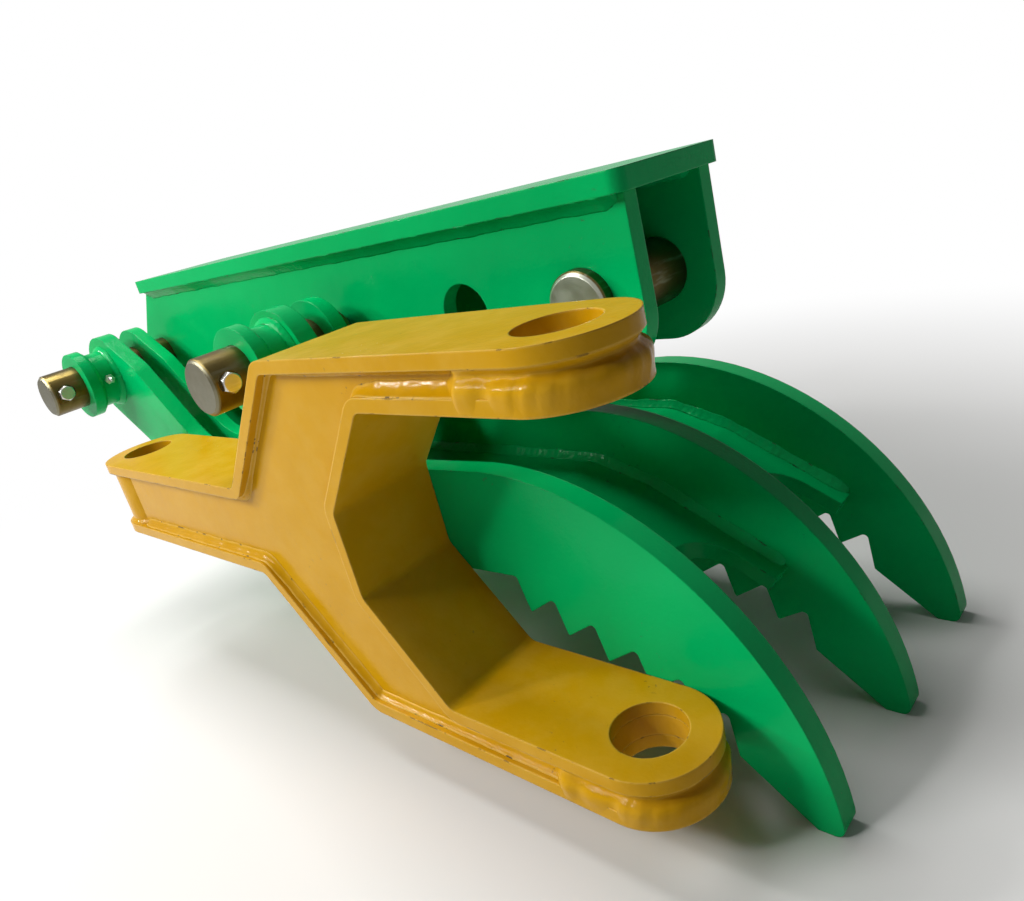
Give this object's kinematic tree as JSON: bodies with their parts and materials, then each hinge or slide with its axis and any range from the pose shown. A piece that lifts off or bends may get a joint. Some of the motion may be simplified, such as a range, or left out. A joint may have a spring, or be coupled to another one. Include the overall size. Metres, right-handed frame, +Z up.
{
  "type": "excavator thumb",
  "caption": "Fabricated excavator thumb with toothed curved tines hinged under a weld-on channel base, with pins, cross-bolts and a separate box-section fork yoke",
  "frame": {"origin": "centre of the flat top of the base flange, the face that is welded to the machine's arm", "axes": "+X along the thumb from its pivot towards the tine tips, +Y along the pins towards the left side, +Z up out of the weld face"},
  "size_m": [0.9276, 0.4301, 0.408],
  "materials": {
    "green_paint": "thick glossy green enamel over welded steel plate",
    "yellow_paint": "glossy ochre-yellow enamel over welded steel plate",
    "plated_pin": "yellow zinc plated steel with turned bright ends",
    "zinc_fastener": "bright zinc plated steel"
  },
  "bodies": {
    "bracket": {"flange_plate": "green_paint", "side_plate_right": "green_paint", "side_plate_left": "green_paint", "channel_brace": "green_paint", "channel_pivot_boss": "green_paint"},
    "thumb": {"tine_right": "green_paint", "tine_centre": "green_paint", "tine_left": "green_paint", "root_plate": "green_paint", "palm_plate_right": "green_paint", "palm_plate_left": "green_paint", "lug_plate_right": "green_paint", "lug_plate_left": "green_paint", "pivot_ring_right": "green_paint", "pivot_ring_left": "green_paint", "pivot_boss_right": "green_paint", "pivot_boss_left": "green_paint", "link_ring_right": "green_paint", "link_ring_left": "green_paint", "link_boss_right": "green_paint", "link_boss_left": "green_paint", "pivot_grease_nipples": "zinc_fastener", "link_grease_nipples": "zinc_fastener", "pivot_pin": "plated_pin", "pivot_pin_bolts": "zinc_fastener"},
    "link_pin_right": {"link_pin_right": "plated_pin", "link_pin_bolt_right": "zinc_fastener"},
    "link_pin_left": {"link_pin_left": "plated_pin", "link_pin_bolt_left": "zinc_fastener"},
    "base_pin": {"base_pin": "plated_pin", "base_pin_bolt": "zinc_fastener"},
    "yoke": {"yoke_upper_flange": "yellow_paint", "yoke_lower_flange": "yellow_paint", "yoke_liner": "yellow_paint", "yoke_front_web": "yellow_paint", "yoke_back_web": "yellow_paint", "yoke_upper_boss": "yellow_paint", "yoke_lower_boss": "yellow_paint", "yoke_neck_boss": "yellow_paint"}
  },
  "joints": [
    {"name": "thumb_pivot", "type": "hinge", "parent": "bracket", "child": "thumb", "pos_m": [-0.382, 0, -0.1], "axis": [0, 1, 0], "range_deg": [0, 110]},
    {"name": "link_pin_right_pull", "type": "slide", "parent": "thumb", "child": "link_pin_right", "axis": [0, -1, 0], "range_m": [0, 0.15]},
    {"name": "link_pin_left_pull", "type": "slide", "parent": "thumb", "child": "link_pin_left", "axis": [0, 1, 0], "range_m": [0, 0.15]},
    {"name": "base_pin_pull", "type": "slide", "parent": "bracket", "child": "base_pin", "axis": [0, 1, 0], "range_m": [0, 0.15]},
    {"name": "yoke_lift_away", "type": "slide", "parent": "thumb", "child": "yoke", "axis": [0, -1, 0], "range_m": [0, 0.3]}
  ]
}
